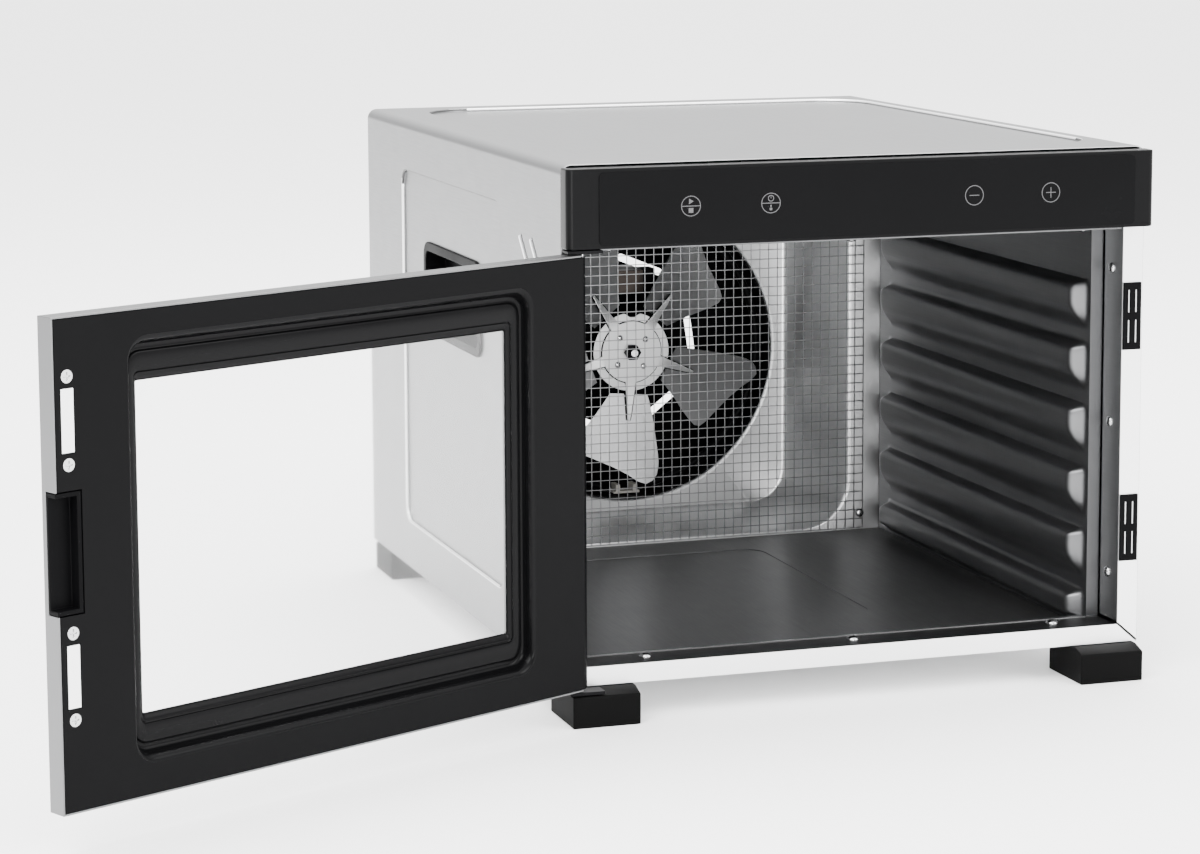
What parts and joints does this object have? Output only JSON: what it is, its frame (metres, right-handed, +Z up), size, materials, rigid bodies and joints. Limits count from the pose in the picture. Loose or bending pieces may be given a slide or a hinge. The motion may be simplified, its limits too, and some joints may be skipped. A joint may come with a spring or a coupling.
{
  "type": "food dehydrator",
  "caption": "Countertop food dehydrator: steel cabinet with a ribbed drying chamber, rear fan behind a wire guard, touch controls and a side-hinged glazed door.",
  "frame": {"origin": "middle of the floor outline, on the floor, measured with the door open at rest", "axes": "+X to the right seen from the front, +Y to the rear, +Z up"},
  "size_m": [0.6362, 0.599, 0.3015],
  "materials": {
    "steel": "fine brushed satin",
    "bright_steel": "bright",
    "liner_steel": "satin, darker",
    "wire": "bright drawn wire",
    "aluminium": "mill",
    "black_plastic": "fine matt",
    "gloss_black": "gloss",
    "rubber": "matt",
    "glass": "clear",
    "dark_steel": "dark satin",
    "copper": "enamelled winding",
    "board": "matt",
    "ceramic": "matt"
  },
  "bodies": {
    "cabinet": {"outer_wrap": "steel", "base_pan": "bright_steel", "chamber_wall_left": "liner_steel", "chamber_wall_right": "liner_steel", "chamber_floor": "liner_steel", "chamber_ceiling": "liner_steel", "plenum_panel": "steel", "mesh_guard": "wire", "fan_shroud": "dark_steel", "rear_panel": "steel", "rear_cover": "black_plastic", "power_inlet": "black_plastic", "motor_stator": "dark_steel", "motor_coil": "copper", "motor_bracket": "steel", "motor_front_bearing": "steel", "heater_element": "dark_steel", "heater_holder": "ceramic", "thermal_cutout": "black_plastic", "temperature_probe": "bright_steel", "bezel": "black_plastic", "touch_panel": "gloss_black", "display_module": "gloss_black", "control_board": "board", "power_board": "board", "sill_screw_1": "bright_steel", "sill_screw_2": "bright_steel", "sill_screw_3": "bright_steel", "handle_cup_left": "black_plastic", "handle_cup_right": "black_plastic", "hinge_bottom": "dark_steel", "hinge_top": "dark_steel", "magnet_catch_lower": "black_plastic", "magnet_catch_upper": "black_plastic", "foot_front_left": "rubber", "foot_rear_left": "rubber", "foot_front_right": "rubber", "foot_rear_right": "rubber"},
    "fan": {"fan_hub": "aluminium", "fan_nut": "bright_steel", "motor_shaft": "bright_steel", "motor_rotor": "dark_steel", "fan_blade_1": "aluminium", "fan_blade_2": "aluminium", "fan_blade_3": "aluminium", "fan_blade_4": "aluminium", "fan_blade_5": "aluminium"},
    "door": {"door_skin": "steel", "door_frame": "black_plastic", "door_glass": "glass", "glass_seal": "rubber", "door_pull": "black_plastic", "strike_plate_lower": "bright_steel", "strike_plate_upper": "bright_steel", "door_screw_1": "bright_steel", "door_screw_2": "bright_steel", "door_screw_3": "bright_steel", "door_screw_4": "bright_steel"}
  },
  "joints": [
    {"name": "door_hinge", "type": "hinge", "parent": "cabinet", "child": "door", "pos_m": [-0.01639, -0.14854, 0.1375], "axis": [0, 0, 1], "range_deg": [-26, 154]},
    {"name": "fan_spin", "type": "hinge", "parent": "cabinet", "child": "fan", "pos_m": [0.1481, 0.25546, 0.1385], "axis": [0, 1, 0], "continuous": true}
  ]
}
